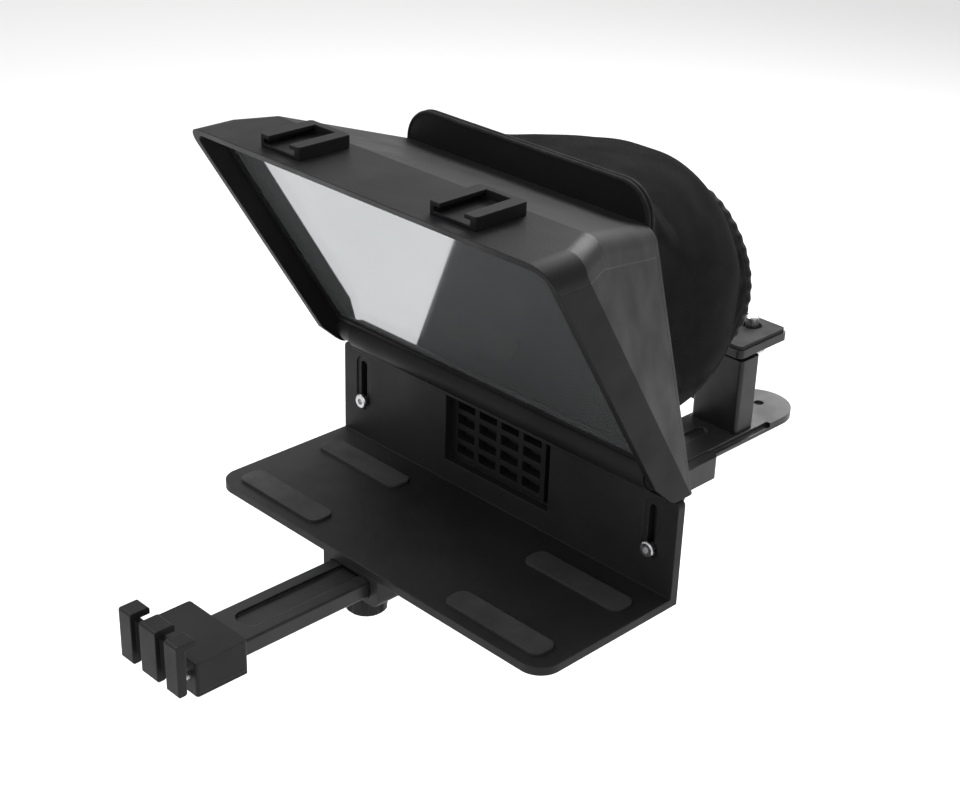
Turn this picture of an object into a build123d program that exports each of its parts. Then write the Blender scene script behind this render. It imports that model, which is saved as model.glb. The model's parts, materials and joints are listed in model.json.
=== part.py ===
"""A tablet teleprompter: a hooded beam splitter over a tablet tray, a fabric lens sleeve and a camera slide.

Design frame, in millimetres: X is across the unit, +Y runs from the reader towards the filming camera, +Z is up.
Y = 0 is the reader's side of the upright panel and Z = 0 is the top of the tablet. Everything is drawn in that
frame and moved at export, so that the mouth of the tripod socket is the origin.
"""
import os
from math import cos, radians, sin

from build123d import *

# Driving dimensions
TRIPOD_MOUTH = (0, 72, -38)
FIT = 0.05  # radial clearance of a shaft in its own hole
GAP = 0.3  # clearance between sliding bodies

TABLET_LENGTH = 169.5
TABLET_BOTTOM = -6.1

PANEL_HALF = 100
PANEL_TOP = 37
FLANGE_BACK = 4
PLATE_FRONT = FLANGE_BACK + 0.4
PLATE_BACK = 10
PLATE_HALF = 91
EAR_X = (88, 94.7)
EAR_BACK = 8
WINDOW_X = (-32, 31)
WINDOW_Z = (3, 35)
SCREW_X = 87
SCREW_Z = 11
SLOT_LOW = SCREW_Z - 2
SLOT_TOP = 31
SLOT_WIDTH = 4
SPINE_SCREW_X = (-20, 0, 20)

SHELF_FRONT = -75
SHELF_BOTTOM = -11
STRIP = 1.2
SHELF_TOP = TABLET_BOTTOM - STRIP

RIM_ANGLE = 58.2
RIM_FOOT = (0, -8, 37)
HINGE_Y = -1
HINGE_Z = 46
BARREL_R = 7.5
BARREL_HALF = EAR_X[0] - 0.4
PIN_R = 2
HOOD_TOP = 157
HOOD_WALL = 3.2
HOOD_CORNER = 9
HOOD_FOOT = 38.5
BAND = 13.5  # depth of the hood's straight front band, square to the rim
ROOF_FOLD_Y = -47
REAR_Y = 8
REAR_PLATE = (5, REAR_Y)
REAR_HALF = 71
REAR_TOP = 141
SIDE_IN = PANEL_HALF - HOOD_WALL
GLASS_HALF = 95.2
GLASS_U = (12.7, 126.3)
GLASS_DEPTH = (9.5, 11.5)

FLANGE_Y = (REAR_Y, REAR_Y + 3)
FLANGE_HALF = 67
FLANGE_Z = (39, 155)
THROAT_HALF = 62
THROAT_Z = (43, 135)
MOUTH_Y = 106
MOUTH_Z = 76
MOUTH_R = 44
CLOTH = 2.2

SHOE_X = 48
SHOE_Y = (-76, -50)

RAIL_HALF = 22
RAIL_Y = (PLATE_BACK, 130)
RAIL_KNOB_Y = 118
RAIL_Z = (-32, -20.4)
SLIDE_HALF = 18
SLIDE_Y = (88, 204)
SLIDE_Z = (-24, -20)
RISER_HALF = 14
RISER_BORE = 10.8
RISER_Y = (152, 166)
RISER_TOP = 19
PLATFORM_Z = (21, 25)
PAD_TOP = 27
CAMERA_SCREW_Y = 176
CAMERA_SCREW_R = 3.175
CAMERA_NECK_R = 2.6

ARM_X = -9
ARM_HALF = 12
ARM_Y = (-142, -42)
ARM_Z = (-20.5, -13)
CLAMP_Y = (-166, -142)
CLAMP_HALF = 18.5
CLAMP_Z = (-21, -7.5)
JAW_Y = (-174.5, -170.5)
JAW_Z = (-19, 3.6)
ROD_X = 14
ROD_Z = -14.5
ROD_R = 1.5

RIM = Plane(origin=RIM_FOOT, x_dir=(1, 0, 0), z_dir=(0, -sin(radians(RIM_ANGLE)), -cos(radians(RIM_ANGLE))))
facet_point = RIM.from_local_coords((PANEL_HALF, 0, -BAND))
facet_normal = (Vector(REAR_HALF, REAR_Y, REAR_TOP) - facet_point).cross(RIM.y_dir)
roof_fold = Vector(0, ROOF_FOLD_Y, HOOD_TOP)
roof_normal = Vector(0, HOOD_TOP - REAR_TOP, REAR_Y - ROOF_FOLD_Y)


# Shape helpers
def block(x, y, z):
    """A box between the given limits along each axis."""
    size = [high - low for low, high in (x, y, z)]
    centre = [(high + low) / 2 for low, high in (x, y, z)]
    return Pos(*centre) * Box(*size)


def rim_block(x, u, depth):
    """A box in the hood's own slope: u runs up the front rim, depth runs in from it."""
    return RIM * block(x, u, (-depth[1], -depth[0]))


def upright(x, y, r, z):
    """A cylinder along Z."""
    return Pos(x, y, (z[0] + z[1]) / 2) * Cylinder(r, z[1] - z[0])


def along_x(y, z, r, x):
    """A cylinder along X."""
    return Pos((x[0] + x[1]) / 2, y, z) * Rot(0, 90, 0) * Cylinder(r, x[1] - x[0])


def along_y(x, z, r, y):
    """A cylinder along Y."""
    return Pos(x, (y[0] + y[1]) / 2, z) * Rot(90, 0, 0) * Cylinder(r, y[1] - y[0])


def pair(shape):
    """The shape and its mirror image across the middle plane, as separate solids."""
    return Part(children=[shape, mirror(shape, Plane.YZ)])


def both(shape):
    """The shape joined with its mirror image across the middle plane."""
    return shape + mirror(shape, Plane.YZ)


def edges_along(shape, axis):
    """The straight edges of a shape that run along one axis."""
    return shape.edges().filter_by(axis)


def ring_section(y, half, z, corner):
    """A rounded rectangle standing across the unit at one Y."""
    plane = Plane(origin=(0, y, (z[0] + z[1]) / 2), x_dir=(1, 0, 0), z_dir=(0, -1, 0))
    return plane * RectangleRounded(2 * half, z[1] - z[0], corner)


def knob(radius, length, flutes):
    """A fluted thumb knob on +Z, with its shaft side at Z = 0."""
    body = extrude(Circle(radius), length)
    body = chamfer(body.edges().filter_by(GeomType.CIRCLE), 0.8)
    cuts = [
        Rot(0, 0, 360 * i / flutes) * Pos(radius + 0.9, 0, length / 2) * Cylinder(1.8, length + 2)
        for i in range(flutes)
    ]
    return body - cuts


# Base body: panel plate, spine, rail and tripod socket
def base_frame():
    plate = block((-PLATE_HALF, PLATE_HALF), (PLATE_FRONT, PLATE_BACK), (-8, PANEL_TOP))
    plate = fillet(edges_along(plate, Axis.Y), 3)
    plate += block((-EAR_X[1], EAR_X[1]), (PLATE_FRONT, EAR_BACK), (28, PANEL_TOP))
    plate -= block(WINDOW_X, (0, 20), WINDOW_Z)
    eye = Pos(HINGE_Y, HINGE_Z) * Circle(6.5)
    web = Pos(6.25, 40) * Rectangle(3.5, 6)
    ear = extrude(Plane.YZ.offset(EAR_X[0]) * make_hull(eye.edges() + web.edges()), EAR_X[1] - EAR_X[0])
    ear += block(EAR_X, (4.5, EAR_BACK), (30, 38))
    ear -= along_x(HINGE_Y, HINGE_Z, PIN_R, (80, 99))
    plate += both(ear)
    plate += both(along_y(SCREW_X, SCREW_Z, 4, (PLATE_BACK, 14)))
    plate -= both(along_y(SCREW_X, SCREW_Z, 1.9, (0, 13)))
    return plate - [along_y(x, -2, 2, (0, 20)) for x in SPINE_SCREW_X]


def panel_lattice():
    x = (WINDOW_X[0], 24)
    grid = block(x, (5, 9.5), WINDOW_Z)
    columns, rows, bar = 4, 4, 2.6
    cell_x = (x[1] - x[0] - bar * (columns + 1)) / columns
    cell_z = (WINDOW_Z[1] - WINDOW_Z[0] - bar * (rows + 1)) / rows
    cells = [
        Pos(
            x[0] + bar + cell_x / 2 + i * (cell_x + bar),
            7,
            WINDOW_Z[0] + bar + cell_z / 2 + j * (cell_z + bar),
        )
        * Box(cell_x, 8, cell_z)
        for i in range(columns)
        for j in range(rows)
    ]
    return grid - cells


def spine_block():
    outline = Polyline(
        (PLATE_BACK, RAIL_Z[1]), (56, RAIL_Z[1]), (40, 18), (40, 32), (PLATE_BACK, 32), close=True
    )
    body = extrude(Plane.YZ.offset(-35) * make_face(outline), 70)
    body = fillet(edges_along(body, Axis.X).group_by(Axis.Z)[-1], 2)
    pockets = [
        block((low, low + 19), (14, 60), (-16, 28))
        for low in (-31, -9.5, 12)
    ]
    bolts = [along_y(x, -2, 2, (9, 15)) for x in SPINE_SCREW_X]
    return body - pockets - bolts


def base_rail():
    body = block((-RAIL_HALF, RAIL_HALF), RAIL_Y, RAIL_Z)
    body = fillet(edges_along(body, Axis.Z), 3)
    channel_y = (52, 140)
    body -= block((-SLIDE_HALF - GAP, SLIDE_HALF + GAP), channel_y, (SLIDE_Z[0] - GAP, -21.9))
    body -= block((-15.8, 15.8), channel_y, (SLIDE_Z[0] - GAP, 0))
    body += upright(0, TRIPOD_MOUTH[1], 11, (TRIPOD_MOUTH[2], RAIL_Z[0]))
    body -= upright(0, TRIPOD_MOUTH[1], 4.5, (TRIPOD_MOUTH[2] - 1, -29))
    return body - upright(0, RAIL_KNOB_Y, 3 + FIT, (-40, 0))


def thread_insert():
    z = (TRIPOD_MOUTH[2], -30)
    return upright(0, TRIPOD_MOUTH[1], 4.5, z) - upright(0, TRIPOD_MOUTH[1], 2.55, (-40, -20))


def hinge_pins():
    return pair(along_x(HINGE_Y, HINGE_Z, PIN_R, (EAR_X[0] + 0.4, 98.8)))


def slot_screws():
    head = along_y(SCREW_X, SCREW_Z, 3.4, (-2.2, -GAP))
    head = chamfer(head.faces().sort_by(Axis.Y)[0].edges(), 0.5)
    socket = extrude(Plane.XZ.offset(0.9) * Pos(SCREW_X, SCREW_Z) * RegularPolygon(1.5, 6), 3)
    return pair(head - socket + along_y(SCREW_X, SCREW_Z, 1.9, (-GAP, 12)))


def spine_screws():
    screws = [along_y(x, -2, 2, (9, 14)) + along_y(x, -2, 3.6, (14, 16)) for x in SPINE_SCREW_X]
    return Part(children=screws)


# Tray body: slotted upright flange, shelf and arm channel
def tray_plate():
    flange = block((-PANEL_HALF, PANEL_HALF), (0, FLANGE_BACK), (SHELF_BOTTOM, PANEL_TOP))
    flange = fillet(edges_along(flange, Axis.Y).group_by(Axis.Z)[-1], 2.5)
    flange -= block(WINDOW_X, (-2, 6), WINDOW_Z)
    flange += block((-PANEL_HALF + 6, PANEL_HALF - 6), (-1.2, 0), (PANEL_TOP - 1.4, PANEL_TOP))
    slot = Plane.XZ * Pos(SCREW_X, (SLOT_LOW + SLOT_TOP) / 2) * Rot(0, 0, 90)
    flange -= both(extrude(slot * SlotOverall(SLOT_TOP - SLOT_LOW, SLOT_WIDTH), 10, both=True))
    recess = slot * SlotOverall(SLOT_TOP - SLOT_LOW + 5, SLOT_WIDTH + 5)
    flange -= both(extrude(recess, 0.6, both=True)) & block((-100, 100), (0, 2), (0, 60))
    shelf = block((-PANEL_HALF, PANEL_HALF), (SHELF_FRONT, 0), (SHELF_BOTTOM, SHELF_TOP))
    shelf = fillet(edges_along(shelf, Axis.Z).group_by(Axis.Y)[0], 10)
    ribs = [block((x - 1, x + 1), (SHELF_FRONT + 12, 0), (SHELF_BOTTOM - 2.5, SHELF_BOTTOM)) for x in (-80, -50, 50, 80)]
    return flange + shelf + ribs


def tray_strips():
    strip = block((40, 92), (SHELF_FRONT + 6, SHELF_FRONT + 18), (SHELF_TOP, TABLET_BOTTOM))
    rear = block((40, 92), (-24, -12), (SHELF_TOP, TABLET_BOTTOM))
    strips = [fillet(edges_along(s, Axis.Z), 4) for s in (strip, rear)]
    return Part(children=[*strips, *(mirror(s, Plane.YZ) for s in strips)])


def arm_channel():
    body = block((-17, 17), (SHELF_FRONT, -3), (-24, SHELF_BOTTOM))
    body = fillet(edges_along(body, Axis.Y).group_by(Axis.Z)[0], 3)
    inner = (ARM_Z[0] - GAP, ARM_Z[1] + GAP)
    body -= block((-ARM_HALF - GAP, ARM_HALF + GAP), (-80, 0), inner)
    return body - upright(0, -66, 2.5 + FIT, (-30, -20))


def arm_knob():
    handle = Pos(0, -66, -24.5) * Rot(180, 0, 0) * knob(9, 10, 8)
    return handle + upright(0, -66, 2.5, (-24.5, -21.2))


# Arm body: the tray's extending arm with the fixed half of the tablet clamp
def tray_arm():
    body = block((-ARM_HALF, ARM_HALF), ARM_Y, ARM_Z)
    body = fillet(edges_along(body, Axis.Y), 1)
    groove = block((-6, 6), (ARM_Y[0] + 10, ARM_Y[1] - 8), (ARM_Z[1] - 1.5, 0))
    return body - fillet(edges_along(groove, Axis.Z), 5)


def clamp_base():
    body = block((-CLAMP_HALF, CLAMP_HALF), CLAMP_Y, CLAMP_Z)
    body = fillet(edges_along(body, Axis.Z), 1.2)
    body -= both(block((ROD_X - 3, ROD_X + 3), (-162, -144), (-22, -10.5)))
    return body - both(along_y(ROD_X, ROD_Z, ROD_R + FIT, (-170, -160)))


def clamp_cover():
    cover = block((-CLAMP_HALF, CLAMP_HALF), CLAMP_Y, (CLAMP_Z[0] - 1.5, CLAMP_Z[0]))
    return fillet(edges_along(cover, Axis.Z), 1.2)


def jaw_springs():
    turns, low, high = 6, -161.4, -147.2
    pitch = (high - low) / turns
    path = Pos(ROD_X, low, ROD_Z) * Rot(-90, 0, 0) * Helix(pitch, high - low, 2.2)
    wire = Plane(origin=path @ 0, z_dir=path % 0) * Circle(0.3)
    return pair(sweep(wire, path=path, is_frenet=True))


# Jaw body: the sprung front half of the tablet clamp
def clamp_jaw():
    """Three fingers on a thin backing, each with a lip that hooks over the tablet's edge."""
    body = block((-CLAMP_HALF, CLAMP_HALF), JAW_Y, JAW_Z)
    body += block((-CLAMP_HALF, CLAMP_HALF), (JAW_Y[1], -165.5), (0.6, JAW_Z[1]))
    body = fillet(edges_along(body, Axis.X).group_by(Axis.Z)[-1], 1)
    body = fillet(edges_along(body, Axis.X).group_by(Axis.Z)[0], 1)
    slot = block((5, 11), (-176, -172.2), (-21, 5))
    slot += block((5, 11), (-176, -160), (0, 5))
    slot += block((5, 11), (-176, -160), (-21, -15))
    body -= both(slot)
    return body - both(along_y(ROD_X, ROD_Z, ROD_R, (-173, -160)))


def jaw_pad():
    return block((-17.5, 17.5), (JAW_Y[1], JAW_Y[1] + 1), (-7, 0.2))


def guide_rods():
    rod = along_y(ROD_X, ROD_Z, ROD_R, (-173, -146.7))
    return pair(rod + along_y(ROD_X, ROD_Z, 2.7, (-146.7, -144.7)))


# Hood body: roof, sides, rear plate, glass and sleeve
def beyond(point, normal, inset):
    """Everything past a plane that has been moved in along its normal."""
    direction = normal.normalized()
    return Plane(point - direction * inset, z_dir=direction) * Pos(0, 0, 200) * Box(600, 600, 400)


def hood_form(inset, rear):
    """The hood's outer form with its faces moved in by an inset and its rear face at one Y."""
    side = PANEL_HALF - inset
    form = block((-side, side), (-100, rear), (HOOD_FOOT, HOOD_TOP - inset))
    form -= beyond(roof_fold, roof_normal, inset)
    form -= both(beyond(facet_point, facet_normal, inset))
    shoulders = [e for e in form.edges() if e.center().Z > 138 and abs(e.center().X) > 60]
    return fillet(shoulders, HOOD_CORNER - inset)


def side_view():
    """Everything inside the hood's side outline: the rim line, the hinge eye and the rear plate."""
    eye = Pos(HINGE_Y, HINGE_Z) * Circle(BARREL_R)
    rim = [RIM.from_local_coords((0, u, 0)) for u in (14, 145)]
    corners = Polyline((rim[0].Y, rim[0].Z), (rim[1].Y, rim[1].Z), (REAR_Y, 160), (REAR_Y, HOOD_FOOT))
    outline = make_hull(eye.edges() + corners.edges())
    return extrude(Plane.YZ * outline, PANEL_HALF, both=True)


def roof_zone():
    """The part of the hood moulded with its roof, down to a seam eleven millimetres below it."""
    outline = Polyline(
        (-100, HOOD_TOP - 11), (ROOF_FOLD_Y, HOOD_TOP - 11), (REAR_Y, REAR_TOP - 11), (REAR_Y, 170), (-100, 170), close=True
    )
    return extrude(Plane.YZ * make_face(outline), PANEL_HALF, both=True)


def barrel(radius):
    return along_x(HINGE_Y, HINGE_Z, radius, (-BARREL_HALF, BARREL_HALF))


def ear_room():
    """The space the base's hinge ears pass through as the hood tilts."""
    x = (BARREL_HALF, EAR_X[1] + 0.4)
    return both(along_x(HINGE_Y, HINGE_Z, 7, x) + block(x, (-20, 20), (20, 47)))


def hood_walls():
    return (hood_form(0, REAR_PLATE[0]) - hood_form(HOOD_WALL, REAR_Y + 1)) & side_view()


def hood_top():
    return hood_walls() & roof_zone()


def hood_side():
    """The right-hand side panel, with a blind hole for the hinge pin."""
    panel = (hood_walls() - roof_zone()) & block((0, 150), (-150, 50), (0, 200))
    panel -= ear_room()
    panel += along_x(HINGE_Y, HINGE_Z, 6, (EAR_X[1] + 0.4, SIDE_IN))
    return panel - along_x(HINGE_Y, HINGE_Z, PIN_R + FIT, (90, 99))


def rear_plate():
    plate = hood_form(0, REAR_Y) & block((-100, 100), REAR_PLATE, (0, 200))
    throat = extrude(ring_section(REAR_PLATE[0] - 1, THROAT_HALF, THROAT_Z, 10), -5)
    return plate - throat - barrel(BARREL_R) - ear_room()


def hood_sill():
    return barrel(BARREL_R) - barrel(BARREL_R - 2.4)


def glass_frame():
    """The ring behind the rim: a thin front lip, and a pocket that takes the glass from behind."""
    ring = rim_block((-SIDE_IN, SIDE_IN), (9, 135), (8.5, 14)) & hood_form(HOOD_WALL, REAR_Y)
    ring -= rim_block((-94, 94), (14, 125), (0, 30))
    ring -= rim_block((-GLASS_HALF, GLASS_HALF), GLASS_U, (GLASS_DEPTH[0], 20))
    return ring - barrel(BARREL_R) - ear_room() - both(hood_side())


def beam_splitter_glass():
    return rim_block((-GLASS_HALF, GLASS_HALF), GLASS_U, GLASS_DEPTH)


def glass_clips():
    depth = (GLASS_DEPTH[1], GLASS_DEPTH[1] + 2)
    rows = [(GLASS_U[0] + 4, GLASS_U[0] + 12), (GLASS_U[1] - 8, GLASS_U[1])]
    clips = [rim_block((GLASS_HALF - 8, GLASS_HALF), u, depth) for u in rows]
    return Part(children=[*clips, *(mirror(c, Plane.YZ) for c in clips)])


def sleeve_flange():
    middle = (FLANGE_Z[0] + FLANGE_Z[1]) / 2
    face = Plane(origin=(0, FLANGE_Y[0], middle), x_dir=(1, 0, 0), z_dir=(0, 1, 0))
    ring = extrude(face * RectangleRounded(2 * FLANGE_HALF, FLANGE_Z[1] - FLANGE_Z[0], 14), 3)
    throat = extrude(ring_section(FLANGE_Y[0] - 1, THROAT_HALF, THROAT_Z, 10), -5)
    return ring - throat


def sleeve_section(y, half, z, top_corner, low_corner):
    """An outline across the unit with its own upper and lower corner radii."""
    plane = Plane(origin=(0, y, (z[0] + z[1]) / 2), x_dir=(1, 0, 0), z_dir=(0, -1, 0))
    outline = Rectangle(2 * half, z[1] - z[0])
    outline = fillet(outline.vertices().group_by(Axis.Y)[-1], top_corner)
    outline = fillet(outline.vertices().group_by(Axis.Y)[0], low_corner)
    return plane * outline


def fabric_sleeve():
    sections = [
        (FLANGE_Y[1], 66, (40.5, 154), 14, 14),
        (30, 63.5, (39.5, 148.5), 36, 20),
        (50, 61.5, (38.5, 146), 42, 24),
        (72, 58.5, (36, 142.5), 47, 30),
        (90, 52.5, (33, 138), 49, 36),
        (MOUTH_Y, MOUTH_R, (MOUTH_Z - MOUTH_R, MOUTH_Z + MOUTH_R), MOUTH_R - 0.1, MOUTH_R - 0.1),
    ]
    outer = loft([sleeve_section(*s) for s in sections], ruled=True)
    inner = loft([
        sleeve_section(y, half - CLOTH, (z[0] + CLOTH, z[1] - CLOTH), top - CLOTH, low - CLOTH)
        for y, half, z, top, low in sections
    ], ruled=True)
    return outer - inner


def sleeve_hem():
    ring = along_y(0, MOUTH_Z, MOUTH_R + 0.6, (MOUTH_Y, MOUTH_Y + 5))
    ring -= along_y(0, MOUTH_Z, MOUTH_R - 3, (MOUTH_Y - 1, MOUTH_Y + 6))
    return fillet(ring.edges().filter_by(GeomType.CIRCLE), 1.4)


def cold_shoe():
    """An accessory shoe on the left of the cap; the slot is 18.7 wide and 2.1 high."""
    floor, slot, lips = 1.6, 2.1, 1.6
    height = floor + slot + lips
    body = block((-12, 12), SHOE_Y, (HOOD_TOP, HOOD_TOP + height))
    body = fillet(edges_along(body, Axis.Z), 1.5)
    middle = (HOOD_TOP + floor, HOOD_TOP + floor + slot)
    body -= block((-9.35, 9.35), (SHOE_Y[0] - 1, SHOE_Y[1] - 3), middle)
    return body - block((-6.3, 6.3), (SHOE_Y[0] - 1, SHOE_Y[1] - 3), (middle[0], HOOD_TOP + 20))


# Camera slide, riser and platform
def camera_plate():
    low = block((-SLIDE_HALF, SLIDE_HALF), SLIDE_Y, (SLIDE_Z[0], -22.2))
    high = block((-15.5, 15.5), SLIDE_Y, (-22.2, SLIDE_Z[1]))
    end = upright(0, SLIDE_Y[1] - SLIDE_HALF, SLIDE_HALF, (-30, -10)) + block(
        (-30, 30), (0, SLIDE_Y[1] - SLIDE_HALF), (-30, -10)
    )
    body = (low + high) & end
    tail = block((-15.6, 15.6), (RISER_Y[1], SLIDE_Y[1]), SLIDE_Z)
    body += (block((-SLIDE_HALF, SLIDE_HALF), (175, SLIDE_Y[1]), SLIDE_Z) + tail) & end
    groove = block((-3.2, 3.2), (104, 146), (-21, 0))
    body -= fillet(edges_along(groove, Axis.Z), 3)
    return body - upright(0, 189, 2.5, (-30, 0))


def riser_outer():
    body = block((-RISER_HALF, RISER_HALF), RISER_Y, (SLIDE_Z[1], RISER_TOP))
    body = fillet(edges_along(body, Axis.Z), 2)
    body -= block((-RISER_BORE, RISER_BORE), (155.2, 162.8), (-18.5, RISER_TOP + 1))
    return body - along_x(159, -6, 2.5 + FIT, (-30, -RISER_BORE + 1))


def riser_inner():
    return block((-RISER_BORE + 0.3, RISER_BORE - 0.3), (155.5, 162.5), (-18, PLATFORM_Z[0]))


def riser_knob():
    handle = Pos(-RISER_HALF - 0.5, 159, -6) * Rot(0, -90, 0) * knob(7.5, 10, 8)
    return handle + along_x(159, -6, 2.5, (-RISER_HALF - 0.5, -RISER_BORE - 0.4))


def rail_knob():
    handle = Pos(0, RAIL_KNOB_Y, -33) * Rot(180, 0, 0) * knob(10.5, 15, 10)
    return handle + upright(0, RAIL_KNOB_Y, 3, (-33, -24.6))


def camera_platform():
    body = block((-14, 14), (150, 187), PLATFORM_Z)
    body = fillet(edges_along(body, Axis.Z), 3)
    return body - upright(0, CAMERA_SCREW_Y, CAMERA_NECK_R + FIT, (0, 40))


def platform_pad():
    pad = block((-13, 13), (151, 186), (PLATFORM_Z[1], PAD_TOP))
    pad = fillet(edges_along(pad, Axis.Z), 2)
    return pad - upright(0, CAMERA_SCREW_Y, 5, (0, 40))


def camera_screw():
    """A captive 1/4-inch screw: its thin neck turns in the platform, and its threaded end is too wide to drop out."""
    neck_z = (PLATFORM_Z[0] - 0.5, PLATFORM_Z[1] + 0.5)
    thread = upright(0, CAMERA_SCREW_Y, CAMERA_SCREW_R, (neck_z[1], PAD_TOP + 5))
    thread = chamfer(thread.edges().group_by(Axis.Z)[-1], 0.6)
    neck = upright(0, CAMERA_SCREW_Y, CAMERA_NECK_R, neck_z)
    return thread + neck + Pos(0, CAMERA_SCREW_Y, neck_z[0]) * Rot(180, 0, 0) * knob(8, 6, 8)


to_arm = Pos(ARM_X, 0, 0)
nodes = {
    "base_frame": base_frame(),
    "panel_lattice": panel_lattice(),
    "spine_block": spine_block(),
    "base_rail": base_rail(),
    "thread_insert": thread_insert(),
    "hinge_pins": hinge_pins(),
    "slot_screws": slot_screws(),
    "spine_screws": spine_screws(),
    "tray_plate": tray_plate(),
    "tray_strips": tray_strips(),
    "arm_channel": to_arm * arm_channel(),
    "arm_knob": to_arm * arm_knob(),
    "tray_arm": to_arm * tray_arm(),
    "clamp_base": to_arm * clamp_base(),
    "clamp_cover": to_arm * clamp_cover(),
    "jaw_springs": to_arm * jaw_springs(),
    "clamp_jaw": to_arm * clamp_jaw(),
    "jaw_pad": to_arm * jaw_pad(),
    "guide_rods": to_arm * guide_rods(),
    "hood_top": hood_top(),
    "hood_side_right": hood_side(),
    "hood_side_left": mirror(hood_side(), Plane.YZ),
    "hood_sill": hood_sill(),
    "glass_frame": glass_frame(),
    "beam_splitter_glass": beam_splitter_glass(),
    "glass_clips": glass_clips(),
    "rear_plate": rear_plate(),
    "sleeve_flange": sleeve_flange(),
    "fabric_sleeve": fabric_sleeve(),
    "sleeve_hem": sleeve_hem(),
    "cold_shoe_left": Pos(-SHOE_X, 0, 0) * cold_shoe(),
    "cold_shoe_right": Pos(SHOE_X, 0, 0) * cold_shoe(),
    "camera_plate": camera_plate(),
    "riser_outer": riser_outer(),
    "riser_inner": riser_inner(),
    "riser_knob": riser_knob(),
    "rail_knob": rail_knob(),
    "camera_platform": camera_platform(),
    "platform_pad": platform_pad(),
    "camera_screw": camera_screw(),
}

os.makedirs("parts", exist_ok=True)
to_part_frame = Pos(*(-v for v in TRIPOD_MOUTH))
for name, shape in nodes.items():
    export_step(to_part_frame * shape, f"parts/{name}.step")
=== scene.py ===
"""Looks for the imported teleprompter: materials, a simulated fabric sleeve, trims, light and camera.

Blender units are metres in the part's own frame: X across, +Y towards the filming camera, +Z up, with the
origin at the tripod socket's mouth.
"""
import json
import math

import bmesh
import bpy
import numpy as np
from mathutils import Matrix, Vector


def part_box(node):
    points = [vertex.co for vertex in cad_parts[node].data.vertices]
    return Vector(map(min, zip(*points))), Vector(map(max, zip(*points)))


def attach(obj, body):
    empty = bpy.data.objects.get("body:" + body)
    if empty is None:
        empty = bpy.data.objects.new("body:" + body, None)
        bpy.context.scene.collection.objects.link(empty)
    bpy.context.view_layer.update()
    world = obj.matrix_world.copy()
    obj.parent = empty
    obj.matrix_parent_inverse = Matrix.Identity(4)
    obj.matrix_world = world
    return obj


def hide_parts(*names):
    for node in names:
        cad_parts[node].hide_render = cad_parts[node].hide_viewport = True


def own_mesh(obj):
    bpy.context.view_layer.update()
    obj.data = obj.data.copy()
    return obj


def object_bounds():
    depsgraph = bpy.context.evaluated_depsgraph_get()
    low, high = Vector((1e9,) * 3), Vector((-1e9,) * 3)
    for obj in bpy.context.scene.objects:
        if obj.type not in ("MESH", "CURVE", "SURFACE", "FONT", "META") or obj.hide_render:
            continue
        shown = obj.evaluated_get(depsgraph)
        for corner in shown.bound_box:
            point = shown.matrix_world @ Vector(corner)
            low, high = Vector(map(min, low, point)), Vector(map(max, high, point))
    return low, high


MM = 0.001
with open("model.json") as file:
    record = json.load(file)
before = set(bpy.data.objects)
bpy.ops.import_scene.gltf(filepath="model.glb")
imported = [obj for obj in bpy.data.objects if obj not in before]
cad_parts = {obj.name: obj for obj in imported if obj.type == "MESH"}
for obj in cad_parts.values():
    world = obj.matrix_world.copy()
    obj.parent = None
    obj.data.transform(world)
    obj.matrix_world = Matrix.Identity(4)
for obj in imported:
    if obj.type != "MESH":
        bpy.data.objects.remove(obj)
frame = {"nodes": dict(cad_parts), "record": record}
nodes = frame["nodes"]
cad_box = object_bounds()
scene = bpy.context.scene
scene.view_settings.view_transform = "Standard"
scene.view_settings.look = "None"


# Camera
CAMERA_AT = Vector((461.5, -546.0, 415.4)) * MM
LOOK_AT = Vector((-63.4, -19.35, 38.0)) * MM
CAMERA_ROLL = math.radians(1.78)
CAMERA_LENS = 65.78

camera_data = bpy.data.cameras.new("camera")
camera_data.lens = CAMERA_LENS
camera_data.sensor_width = 36
camera_data.clip_start = 0.01
camera = bpy.data.objects.new("camera", camera_data)
scene.collection.objects.link(camera)
facing = (LOOK_AT - CAMERA_AT).to_track_quat("-Z", "Y").to_matrix().to_4x4()
camera.matrix_world = Matrix.Translation(CAMERA_AT) @ facing @ Matrix.Rotation(CAMERA_ROLL, 4, "Z")
scene.camera = camera


# Stage: pale floor, pale world and soft lights
FLOOR_DROP = 0.35
FLOOR_HALF = 30
WORLD_STRENGTH = 0.75


def add_floor():
    size = FLOOR_HALF
    level = cad_box[0].z - FLOOR_DROP
    mesh = bpy.data.meshes.new("floor")
    corners = [(-size, -size, level), (size, -size, level), (size, size, level), (-size, size, level)]
    mesh.from_pydata(corners, [], [(0, 1, 2, 3)])
    floor = bpy.data.objects.new("floor", mesh)
    scene.collection.objects.link(floor)
    paint = bpy.data.materials.new("floor_paint")
    paint.use_nodes = True
    shader = paint.node_tree.nodes["Principled BSDF"]
    shader.inputs["Base Color"].default_value = (0.93, 0.93, 0.93, 1)
    shader.inputs["Roughness"].default_value = 0.9
    mesh.materials.append(paint)


def add_area_light(name, place, aim, size, watts):
    light = bpy.data.lights.new(name, "AREA")
    light.shape = "RECTANGLE"
    light.size, light.size_y = size
    light.energy = watts
    lamp = bpy.data.objects.new(name, light)
    scene.collection.objects.link(lamp)
    place, aim = Vector(place), Vector(aim)
    turn = (aim - place).to_track_quat("-Z", "Y").to_matrix().to_4x4()
    lamp.matrix_world = Matrix.Translation(place) @ turn


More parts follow.
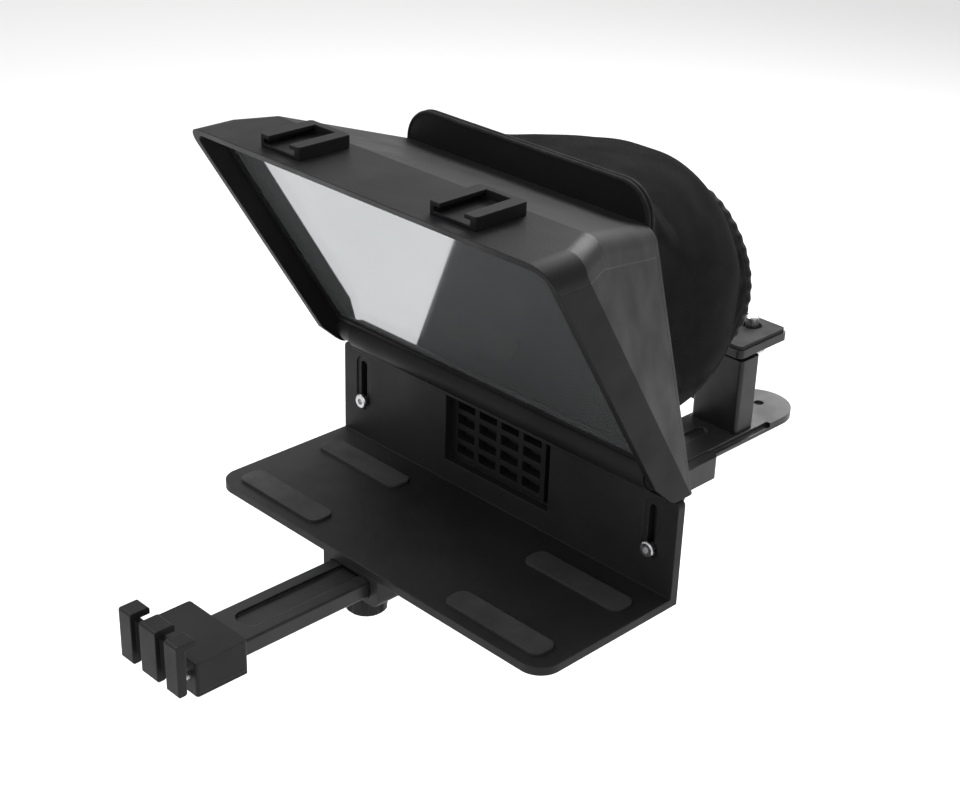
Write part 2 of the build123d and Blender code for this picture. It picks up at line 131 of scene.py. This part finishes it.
def add_lights():
    world = bpy.data.worlds.new("studio")
    world.use_nodes = True
    background = world.node_tree.nodes["Background"]
    background.inputs["Color"].default_value = (1, 1, 1, 1)
    background.inputs["Strength"].default_value = WORLD_STRENGTH
    scene.world = world
    add_area_light("key", (-0.9, -0.3, 1.5), (0, 0, 0.08), (0.9, 0.9), 15)
    add_area_light("back", (-0.3, 1.4, 1.1), (0, 0, 0.1), (1.2, 0.6), 27)
    add_area_light("front", (0.2, -1.6, 0.7), (0, 0, 0.05), (1.2, 0.8), 4)


add_floor()
add_lights()


# Materials
class Paint:
    """A node material with short calls for the nodes that the finishes share."""

    def __init__(self, name):
        self.material = bpy.data.materials.new(name)
        self.material.use_nodes = True
        self.tree = self.material.node_tree
        self.shader = self.tree.nodes["Principled BSDF"]
        self.place = self.node("ShaderNodeTexCoord").outputs["Object"]

    def node(self, kind, **values):
        made = self.tree.nodes.new(kind)
        for key, value in values.items():
            setattr(made, key, value)
        return made

    def link(self, a, b):
        self.tree.links.new(a, b)

    def noise(self, scale, detail=3, stretch=(1, 1, 1)):
        mapping = self.node("ShaderNodeMapping")
        mapping.inputs["Scale"].default_value = stretch
        self.link(self.place, mapping.inputs["Vector"])
        noise = self.node("ShaderNodeTexNoise")
        noise.inputs["Scale"].default_value = scale
        noise.inputs["Detail"].default_value = detail
        self.link(mapping.outputs["Vector"], noise.inputs["Vector"])
        return noise.outputs["Fac"]

    def spread(self, value, low, high, start=0.3, end=0.7):
        """Maps a texture's value to low..high."""
        remap = self.node("ShaderNodeMapRange")
        self.link(value, remap.inputs["Value"])
        for socket, number in zip(("From Min", "From Max", "To Min", "To Max"), (start, end, low, high)):
            remap.inputs[socket].default_value = number
        return remap.outputs["Result"]

    def mix(self, factor, a, b):
        """Mixes two colours by a factor socket; each colour is three numbers or a socket."""
        mixer = self.node("ShaderNodeMix", data_type="RGBA")
        self.link(factor, mixer.inputs[0])
        for socket, colour in ((mixer.inputs[6], a), (mixer.inputs[7], b)):
            if isinstance(colour, tuple):
                socket.default_value = (*colour, 1)
            else:
                self.link(colour, socket)
        return mixer.outputs[2]

    def math(self, operation, a, b):
        made = self.node("ShaderNodeMath", operation=operation)
        for socket, value in zip(made.inputs, (a, b)):
            if isinstance(value, (int, float)):
                socket.default_value = value
            else:
                self.link(value, socket)
        return made.outputs[0]

    def edges(self, radius):
        """The rounded-edge normal, and a mask that is 1 along sharp outer and inner edges."""
        bevel = self.node("ShaderNodeBevel", samples=4)
        bevel.inputs["Radius"].default_value = radius
        flat = self.node("ShaderNodeNewGeometry").outputs["Normal"]
        dot = self.node("ShaderNodeVectorMath", operation="DOT_PRODUCT")
        self.link(bevel.outputs["Normal"], dot.inputs[0])
        self.link(flat, dot.inputs[1])
        return bevel.outputs["Normal"], self.spread(dot.outputs["Value"], 1, 0, 0.75, 0.995)

    def bump(self, height, distance, normal=None):
        bump = self.node("ShaderNodeBump")
        bump.inputs["Distance"].default_value = distance
        bump.inputs["Strength"].default_value = 1
        self.link(height, bump.inputs["Height"])
        if normal is not None:
            self.link(normal, bump.inputs["Normal"])
        return bump.outputs["Normal"]

    def set(self, **values):
        for key, value in values.items():
            socket = self.shader.inputs[key.replace("_", " ")]
            if hasattr(value, "links"):
                self.link(value, socket)
            elif isinstance(value, tuple):
                socket.default_value = (*value, 1)
            else:
                socket.default_value = value
        return self.material


def moulded_plastic(name, dark, light, rough, shine=0.2, grain=1500, wear_and_highlight=0.55):
    """Spark-textured moulding: fine grain, cloudy tone, and paler edges that are partly rubbed wear and partly a
    painted edge highlight.
    """
    p = Paint(name)
    normal, edge = p.edges(0.0007)
    cloud = p.mix(p.spread(p.noise(22, 4), 0, 1), dark, light)
    # Paler edges: partly rubbed wear, partly a painted highlight laid along the bevelled edges.
    rubbed_and_highlit = tuple(min(1, 2.6 * v + 0.012) for v in light)
    worn_and_highlit = p.math("MULTIPLY", edge, p.spread(p.noise(160, 3), 0.25 * wear_and_highlight, wear_and_highlight))
    colour = p.mix(worn_and_highlit, cloud, rubbed_and_highlit)
    roughness = p.spread(p.noise(60, 3), rough - 0.06, rough + 0.07)
    return p.set(
        Base_Color=colour,
        Roughness=roughness,
        Specular_IOR_Level=shine,
        Normal=p.bump(p.noise(grain, 2), 0.00006, normal),
    )


def anodised_metal(name, dark, light):
    """Black anodised aluminium with a faint drawn grain, and paler edges that are partly wear and partly a
    painted edge highlight.
    """
    p = Paint(name)
    normal, edge = p.edges(0.0005)
    cloud = p.mix(p.spread(p.noise(35, 3), 0, 1), dark, light)
    # Paler edges: partly worn anodising, partly a painted highlight along the bevelled edges.
    worn_and_highlit = p.math("MULTIPLY", edge, p.spread(p.noise(210, 3), 0.1, 0.7))
    colour = p.mix(worn_and_highlit, cloud, (0.16, 0.16, 0.17))
    drawn = p.noise(900, 2, stretch=(1, 0.05, 1))
    roughness = p.spread(p.noise(80, 3), 0.32, 0.46)
    return p.set(
        Base_Color=colour, Roughness=roughness, Metallic=0.35, Normal=p.bump(drawn, 0.00003, normal)
    )


def bare_steel(name, tone):
    p = Paint(name)
    normal, _ = p.edges(0.0003)
    dark = tuple(0.8 * v for v in tone)
    colour = p.mix(p.spread(p.noise(500, 3), 0, 1), dark, tone)
    roughness = p.spread(p.noise(700, 3), 0.2, 0.38)
    return p.set(
        Base_Color=colour, Roughness=roughness, Metallic=1.0, Normal=p.bump(p.noise(2600, 2), 0.00002, normal)
    )


def soft_rubber(name):
    p = Paint(name)
    normal, edge = p.edges(0.0005)
    cloud = p.mix(p.spread(p.noise(60, 4), 0, 1), (0.012, 0.012, 0.012), (0.024, 0.024, 0.025))
    # Paler edges: a painted highlight along the bevelled edges.
    colour = p.mix(p.math("MULTIPLY", edge, 0.4), cloud, (0.06, 0.06, 0.06))
    roughness = p.spread(p.noise(90, 3), 0.72, 0.9)
    return p.set(Base_Color=colour, Roughness=roughness, Normal=p.bump(p.noise(1100, 3), 0.0001, normal))


THREAD_PITCH = 1.1 * MM


def woven_cloth(name):
    """Close plain weave in matte black, from two crossed thread waves that follow the cloth's own grid."""
    p = Paint(name)
    threads = p.node("ShaderNodeAttribute", attribute_name="thread").outputs["Vector"]
    apart = p.node("ShaderNodeSeparateXYZ")
    p.link(threads, apart.inputs[0])
    pitch = 2 * math.pi / THREAD_PITCH
    warp = p.math("SINE", p.math("MULTIPLY", apart.outputs["X"], pitch), 0)
    weft = p.math("SINE", p.math("MULTIPLY", apart.outputs["Y"], pitch), 0)
    weave = p.math("MULTIPLY", warp, weft)
    height = p.math("ADD", weave, p.math("MULTIPLY", p.noise(900, 3), 0.8))
    cloud = p.mix(p.spread(p.noise(30, 4), 0, 1), (0.003, 0.003, 0.0035), (0.006, 0.006, 0.0065))
    colour = p.mix(p.spread(weave, 0, 0.55, -1, 1), cloud, (0.01, 0.01, 0.011))
    roughness = p.spread(p.noise(70, 3), 0.8, 0.95)
    return p.set(
        Base_Color=colour,
        Roughness=roughness,
        Specular_IOR_Level=0.04,
        Sheen_Weight=0.01,
        Sheen_Roughness=0.5,
        Normal=p.bump(height, 0.00012),
    )


def stitched_binding(name):
    """Ribbed tape and piping cord."""
    p = Paint(name)
    cloud = p.mix(p.spread(p.noise(120, 4), 0, 1), (0.006, 0.006, 0.0065), (0.014, 0.014, 0.015))
    return p.set(
        Base_Color=cloud,
        Roughness=p.spread(p.noise(300, 3), 0.65, 0.85),
        Specular_IOR_Level=0.15,
        Sheen_Weight=0.03,
        Normal=p.bump(p.noise(1900, 3), 0.00015),
    )


def half_silvered_glass(name):
    """A beam splitter: a mirror coat over a pale haze that still lets part of the light through."""
    p = Paint(name)
    smear = p.mix(p.spread(p.noise(14, 4), 0, 1), (0.6, 0.612, 0.62), (0.65, 0.66, 0.665))
    mirror = p.node("ShaderNodeBsdfGlossy")
    mirror.inputs["Roughness"].default_value = 0.05
    p.link(smear, mirror.inputs["Color"])
    haze = p.node("ShaderNodeBsdfDiffuse")
    haze.inputs["Color"].default_value = (0.5, 0.515, 0.52, 1)
    clear = p.node("ShaderNodeBsdfTransparent")
    clear.inputs["Color"].default_value = (0.78, 0.8, 0.81, 1)
    coat = p.node("ShaderNodeMixShader")
    coat.inputs[0].default_value = 0.12
    p.link(mirror.outputs[0], coat.inputs[1])
    p.link(haze.outputs[0], coat.inputs[2])
    blend = p.node("ShaderNodeMixShader")
    p.link(p.spread(p.noise(9, 3), 0.66, 0.71), blend.inputs[0])
    p.link(clear.outputs[0], blend.inputs[1])
    p.link(coat.outputs[0], blend.inputs[2])
    p.link(blend.outputs[0], p.tree.nodes["Material Output"].inputs["Surface"])
    p.tree.nodes.remove(p.shader)
    return p.material


finishes = {
    "hood_plastic": moulded_plastic(
        "hood_moulding", (0.007, 0.007, 0.008), (0.012, 0.012, 0.013), 0.46, 0.12, wear_and_highlight=0.22
    ),
    "panel_plastic": moulded_plastic("panel_moulding", (0.008, 0.008, 0.009), (0.014, 0.014, 0.015), 0.5),
    "lattice_plastic": moulded_plastic("lattice_moulding", (0.005, 0.005, 0.006), (0.009, 0.009, 0.01), 0.6),
    "frame_plastic": moulded_plastic("frame_moulding", (0.003, 0.003, 0.004), (0.006, 0.006, 0.007), 0.6),
    "knob_plastic": moulded_plastic(
        "knob_moulding", (0.007, 0.007, 0.008), (0.013, 0.013, 0.014), 0.55, grain=900
    ),
    "rail_metal": anodised_metal("rail_anodising", (0.01, 0.01, 0.011), (0.018, 0.018, 0.019)),
    "steel": bare_steel("screw_steel", (0.62, 0.62, 0.64)),
    "spring_steel": bare_steel("spring_wire", (0.45, 0.45, 0.47)),
    "rubber": soft_rubber("grip_rubber"),
    "splitter_glass": half_silvered_glass("beam_splitter"),
}
cloth = woven_cloth("sleeve_weave")
binding = stitched_binding("sleeve_binding")
slot_of = {entry["node"]: entry["material_slot"] for entry in frame["record"]["subparts"]}
for node_name, cad in nodes.items():
    for material_slot in cad.material_slots:
        material_slot.material = finishes.get(slot_of[node_name], cloth)


# Fabric sleeve
AROUND = 176
ALONG = 56
flange_low, flange_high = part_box("sleeve_flange")
hem_low, hem_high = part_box("sleeve_hem")
mouth_z = (hem_low.z + hem_high.z) / 2
mouth_r = 44 * MM


def rounded_loop(half_x, half_z, top_corner, low_corner, count):
    """Evenly spaced points round a rounded rectangle, from the middle of its foot, as (x, z)."""
    top, low = (min(corner, half_x, half_z) for corner in (top_corner, low_corner))
    quarter = math.pi / 2
    rise = 2 * half_z - top - low
    low_arc, top_arc, roof = quarter * low, quarter * top, 2 * (half_x - top)
    runs = [half_x - low, low_arc, rise, top_arc, roof, top_arc, rise, low_arc]
    bends = {
        1: (half_x - low, low - half_z, low, -90),
        3: (half_x - top, half_z - top, top, 0),
        5: (top - half_x, half_z - top, top, 90),
        7: (low - half_x, low - half_z, low, 180),
    }
    points = []
    for i in range(count):
        left = i / count * (sum(runs) + runs[0])
        stage = 0
        while stage < 8 and left > runs[stage]:
            left -= runs[stage]
            stage += 1
        if stage in bends:
            x, z, corner, start = bends[stage]
            angle = math.radians(start) + left / max(corner, 1e-9)
            points.append((x + corner * math.cos(angle), z + corner * math.sin(angle)))
        else:
            points.append({
                0: (left, -half_z),
                2: (half_x, low - half_z + left),
                4: (half_x - top - left, half_z),
                6: (-half_x, half_z - top - left),
                8: (low - half_x + left, -half_z),
            }[stage])
    return points


def smooth_between(stations, t):
    """A smooth value at t from (place, value) stations, by Hermite steps with averaged slopes."""
    xs = np.array([s[0] for s in stations])
    ys = np.array([s[1] for s in stations])
    slopes = np.gradient(ys, xs)
    i = int(np.clip(np.searchsorted(xs, t) - 1, 0, len(xs) - 2))
    h = xs[i + 1] - xs[i]
    u = (t - xs[i]) / h
    a = (1 + 2 * u) * (1 - u) ** 2 * ys[i] + u * (1 - u) ** 2 * h * slopes[i]
    b = u * u * (3 - 2 * u) * ys[i + 1] + u * u * (u - 1) * h * slopes[i + 1]
    return a + b


def sleeve_section(t):
    """Half width, foot, top and two corner radii of the sleeve at t: 0 at the flange, 1 at the mouth."""
    width = [(0, 65.5), (0.2, 63.6), (0.41, 61.6), (0.64, 58.5), (0.83, 52.5), (1, 44)]
    foot = [(0, 79), (0.2, 77.6), (0.41, 76.4), (0.64, 74), (0.83, 71), (1, 70)]
    top = [(0, 191.6), (0.2, 186.6), (0.41, 184), (0.64, 180.4), (0.83, 175), (1, 158)]
    top_corner = [(0, 14), (0.2, 35), (0.41, 42), (0.64, 47), (0.83, 48), (1, 44)]
    low_corner = [(0, 14), (0.2, 20), (0.41, 24), (0.64, 30), (0.83, 36), (1, 44)]
    return [smooth_between(stations, t) * MM for stations in (width, foot, top, top_corner, low_corner)]


def new_piece(name, verts, faces, material, smooth=True):
    mesh = bpy.data.meshes.new(name)
    mesh.from_pydata([tuple(v) for v in verts], [], faces)
    mesh.materials.append(material)
    mesh.polygons.foreach_set("use_smooth", [smooth] * len(mesh.polygons))
    piece = bpy.data.objects.new(name, mesh)
    scene.collection.objects.link(piece)
    return piece


CLOTH_GIRTH = 0.42


def sleeve_mesh():
    start, end = flange_high.y, hem_low.y
    verts = []
    for j in range(ALONG + 1):
        t = j / ALONG
        half_x, foot, top, *corners = sleeve_section(t)
        middle = (foot + top) / 2
        for x, z in rounded_loop(half_x, (top - foot) / 2, *corners, AROUND):
            verts.append((x, start + t * (end - start), middle + z))
    faces = [
        (
            j * AROUND + i,
            j * AROUND + (i + 1) % AROUND,
            (j + 1) * AROUND + (i + 1) % AROUND,
            (j + 1) * AROUND + i,
        )
        for j in range(ALONG)
        for i in range(AROUND)
    ]
    sleeve = new_piece("sleeve_cloth", verts, faces, cloth)
    thread = sleeve.data.attributes.new("thread", "FLOAT_VECTOR", "POINT")
    along_length = end - start
    for j in range(ALONG + 1):
        for i in range(AROUND):
            fold = abs(2 * i / AROUND - 1)
            value = (fold * CLOTH_GIRTH / 2, j / ALONG * along_length, 0)
            thread.data[j * AROUND + i].vector = value
    return sleeve


def surface_area(obj):
    bm = bmesh.new()
    bm.from_mesh(obj.data)
    area = sum(f.calc_area() for f in bm.faces)
    bm.free()
    return area


CLOTH_STEPS = 26
SLACK_LIMIT = 2.5 * MM


def slacken(sleeve):
    """Settles the sleeve as cloth between its flange and its mouth, and applies a limited part of it."""
    pinned = sleeve.vertex_groups.new(name="pinned")
    edge_rows = [*range(2 * AROUND), *range((ALONG - 1) * AROUND, (ALONG + 1) * AROUND)]
    pinned.add(edge_rows, 1.0, "ADD")
    before = np.array([v.co for v in sleeve.data.vertices])
    modifier = sleeve.modifiers.new("cloth", "CLOTH")
    settings = modifier.settings
    settings.quality = 7
    settings.mass = 0.12
    settings.tension_stiffness = 18
    settings.compression_stiffness = 18
    settings.shear_stiffness = 6
    settings.bending_stiffness = 0.35
    settings.shrink_min = -0.008
    settings.vertex_group_mass = "pinned"
    settings.use_pressure = True
    settings.uniform_pressure_force = 5.0
    settings.effector_weights.gravity = 0.25
    modifier.point_cache.frame_end = CLOTH_STEPS
    for step in range(1, CLOTH_STEPS + 1):
        scene.frame_set(step)
    held = sleeve.evaluated_get(bpy.context.evaluated_depsgraph_get())
    after = np.array([v.co for v in held.data.vertices])
    sleeve.modifiers.remove(modifier)
    scene.frame_set(1)
    move = after - before
    size = np.linalg.norm(move, axis=1, keepdims=True)
    move *= np.minimum(1, SLACK_LIMIT / np.maximum(size, 1e-9))
    for vertex, place in zip(sleeve.data.vertices, before + move):
        vertex.co = place


def finish_sleeve(sleeve):
    """Doubles the cloth's mesh and gives it the thickness of a lined fabric."""
    for kind, values in (
        ("SUBSURF", {"levels": 1, "render_levels": 1}),
        ("SOLIDIFY", {"thickness": 0.9 * MM, "offset": -1}),
    ):
        modifier = sleeve.modifiers.new(kind.lower(), kind)
        for key, value in values.items():
            setattr(modifier, key, value)


def tube(name, path, radius, material, closed=True, sides=10):
    """A round tube through the points of a path."""
    count = len(path)
    points = [Vector(p) for p in path]
    verts = []
    for k in range(count):
        ahead = points[(k + 1) % count] if closed or k + 1 < count else points[k]
        behind = points[k - 1] if closed or k else points[k]
        along = (ahead - behind).normalized()
        side = along.cross(Vector((0, 1, 0))).normalized()
        up = side.cross(along).normalized()
        for s in range(sides):
            angle = 2 * math.pi * s / sides
            verts.append(points[k] + radius * (math.cos(angle) * side + math.sin(angle) * up))
    rings = count if closed else count - 1
    faces = [
        (
            k * sides + s,
            k * sides + (s + 1) % sides,
            (k + 1) % count * sides + (s + 1) % sides,
            (k + 1) % count * sides + s,
        )
        for k in range(rings)
        for s in range(sides)
    ]
    return new_piece(name, verts, faces, material)


def flange_loop(inset, y, corner, count=240):
    half_x = (flange_high.x - flange_low.x) / 2 - inset
    half_z = (flange_high.z - flange_low.z) / 2 - inset
    middle = (flange_high.z + flange_low.z) / 2
    corner -= inset
    return [(x, y, middle + z) for x, z in rounded_loop(half_x, half_z, corner, corner, count)]


def add_piping():
    """Two rows of piping round the sleeve's flange."""
    for number, y in enumerate((flange_low.y + 0.6 * MM, flange_high.y - 0.2 * MM)):
        piping = tube(f"piping_{number + 1}", flange_loop(0.2 * MM, y, 14 * MM), 0.95 * MM, binding)
        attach(piping, "hood")


def add_stitches():
    """A row of lock stitches just inside the flange's rear edge."""
    path = flange_loop(3.4 * MM, flange_high.y + 0.25 * MM, 14 * MM, count=172)
    verts, faces = [], []
    for k in range(0, len(path), 2):
        a, b = Vector(path[k]), Vector(path[(k + 1) % len(path)])
        along = (b - a) * 0.42
        middle = (a + b) / 2
        side = along.cross(Vector((0, 1, 0))).normalized() * 0.28 * MM
        lift = Vector((0, 0.28 * MM, 0))
        first = len(verts)
        sections = [(-1, 0.35), (-0.6, 1), (0.6, 1), (1, 0.35)]
        for reach, fat in sections:
            centre = middle + along * reach
            for s in range(6):
                angle = math.pi * s / 3
                verts.append(centre + fat * (math.cos(angle) * side + math.sin(angle) * lift))
        for q in range(3):
            for s in range(6):
                n = (s + 1) % 6
                faces.append((first + q * 6 + s, first + q * 6 + n, first + q * 6 + 6 + n, first + q * 6 + 6 + s))
        faces.append(tuple(first + s for s in range(5, -1, -1)))
        faces.append(tuple(first + 18 + s for s in range(6)))
    stitches = new_piece("flange_stitches", verts, faces, binding)
    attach(stitches, "hood")


def add_hem():
    """The gathered, elastic hem round the sleeve's mouth: a rolled tube puckered by its elastic."""
    puckers, around, section = 46, 368, 18
    verts = []
    middle_y = (hem_low.y + hem_high.y) / 2
    for k in range(around):
        angle = 2 * math.pi * k / around
        wave = math.cos(puckers * angle + 0.9 * math.sin(3 * angle))
        ring = mouth_r - 0.9 * MM + 0.2 * MM * wave
        for s in range(section):
            turn = 2 * math.pi * s / section
            thick = (1.55 + 0.28 * wave * math.cos(turn)) * MM
            wide = (2.75 + 0.2 * math.sin(5 * angle)) * MM
            radius = ring + thick * math.cos(turn)
            verts.append((
                radius * math.sin(angle),
                middle_y + wide * math.sin(turn),
                mouth_z - radius * math.cos(angle),
            ))
    faces = [
        (
            k * section + s,
            k * section + (s + 1) % section,
            (k + 1) % around * section + (s + 1) % section,
            (k + 1) % around * section + s,
        )
        for k in range(around)
        for s in range(section)
    ]
    hem = new_piece("sleeve_hem_roll", verts, faces, binding)
    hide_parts("sleeve_hem")
    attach(hem, "hood")
    return hem


sleeve = sleeve_mesh()
cloth_area = surface_area(sleeve)
slacken(sleeve)
finish_sleeve(sleeve)
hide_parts("fabric_sleeve")
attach(sleeve, "hood")
hem = add_hem()
add_piping()
add_stitches()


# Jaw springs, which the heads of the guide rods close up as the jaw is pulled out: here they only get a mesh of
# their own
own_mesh(nodes["jaw_springs"])
